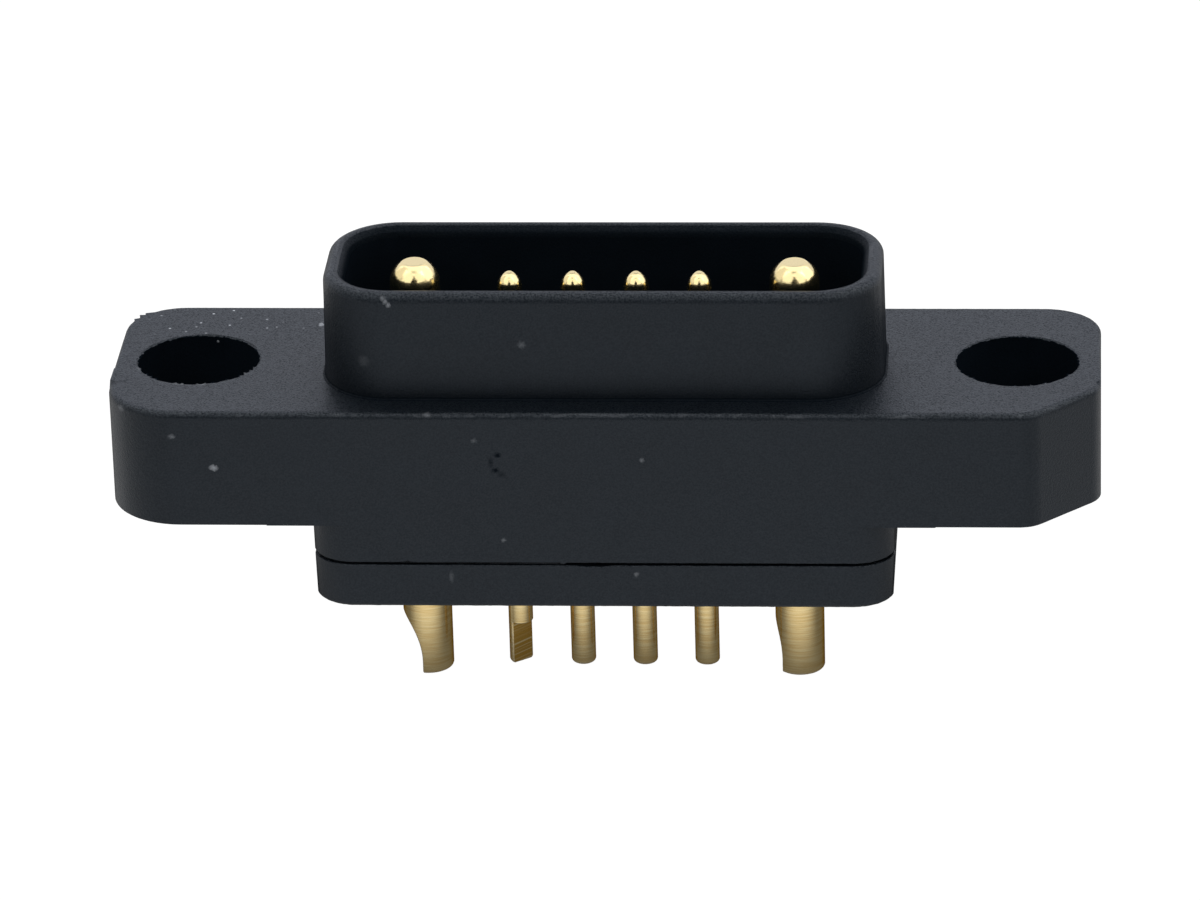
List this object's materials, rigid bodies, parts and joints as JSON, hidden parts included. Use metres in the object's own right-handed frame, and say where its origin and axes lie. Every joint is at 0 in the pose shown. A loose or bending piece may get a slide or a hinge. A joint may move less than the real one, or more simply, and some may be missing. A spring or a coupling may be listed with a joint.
{
  "type": "panel-mount battery connector",
  "caption": "Black panel-mount battery connector: flanged housing with an open shroud, gold-plated power and signal pins in one row, solder tails and a rear cover.",
  "frame": {"origin": "middle of the line between the two mounting holes, on the underside of the flange", "axes": "+X along the flange towards the keyed ear, +Y to the flange's back edge, +Z out of the open shroud along the pins"},
  "size_m": [0.0398, 0.0108, 0.0182],
  "materials": {
    "housing_plastic": "moulded, fine matt grain",
    "cover_plastic": "moulded, fine matt grain",
    "contact_gold": "turned, thin gold plate"
  },
  "bodies": {
    "root": {"front_housing": "housing_plastic", "rear_cover": "cover_plastic", "power_contact_left": "contact_gold", "power_contact_right": "contact_gold", "signal_contact_1": "contact_gold", "signal_contact_2": "contact_gold", "signal_contact_3": "contact_gold", "signal_contact_4": "contact_gold"}
  },
  "joints": []
}
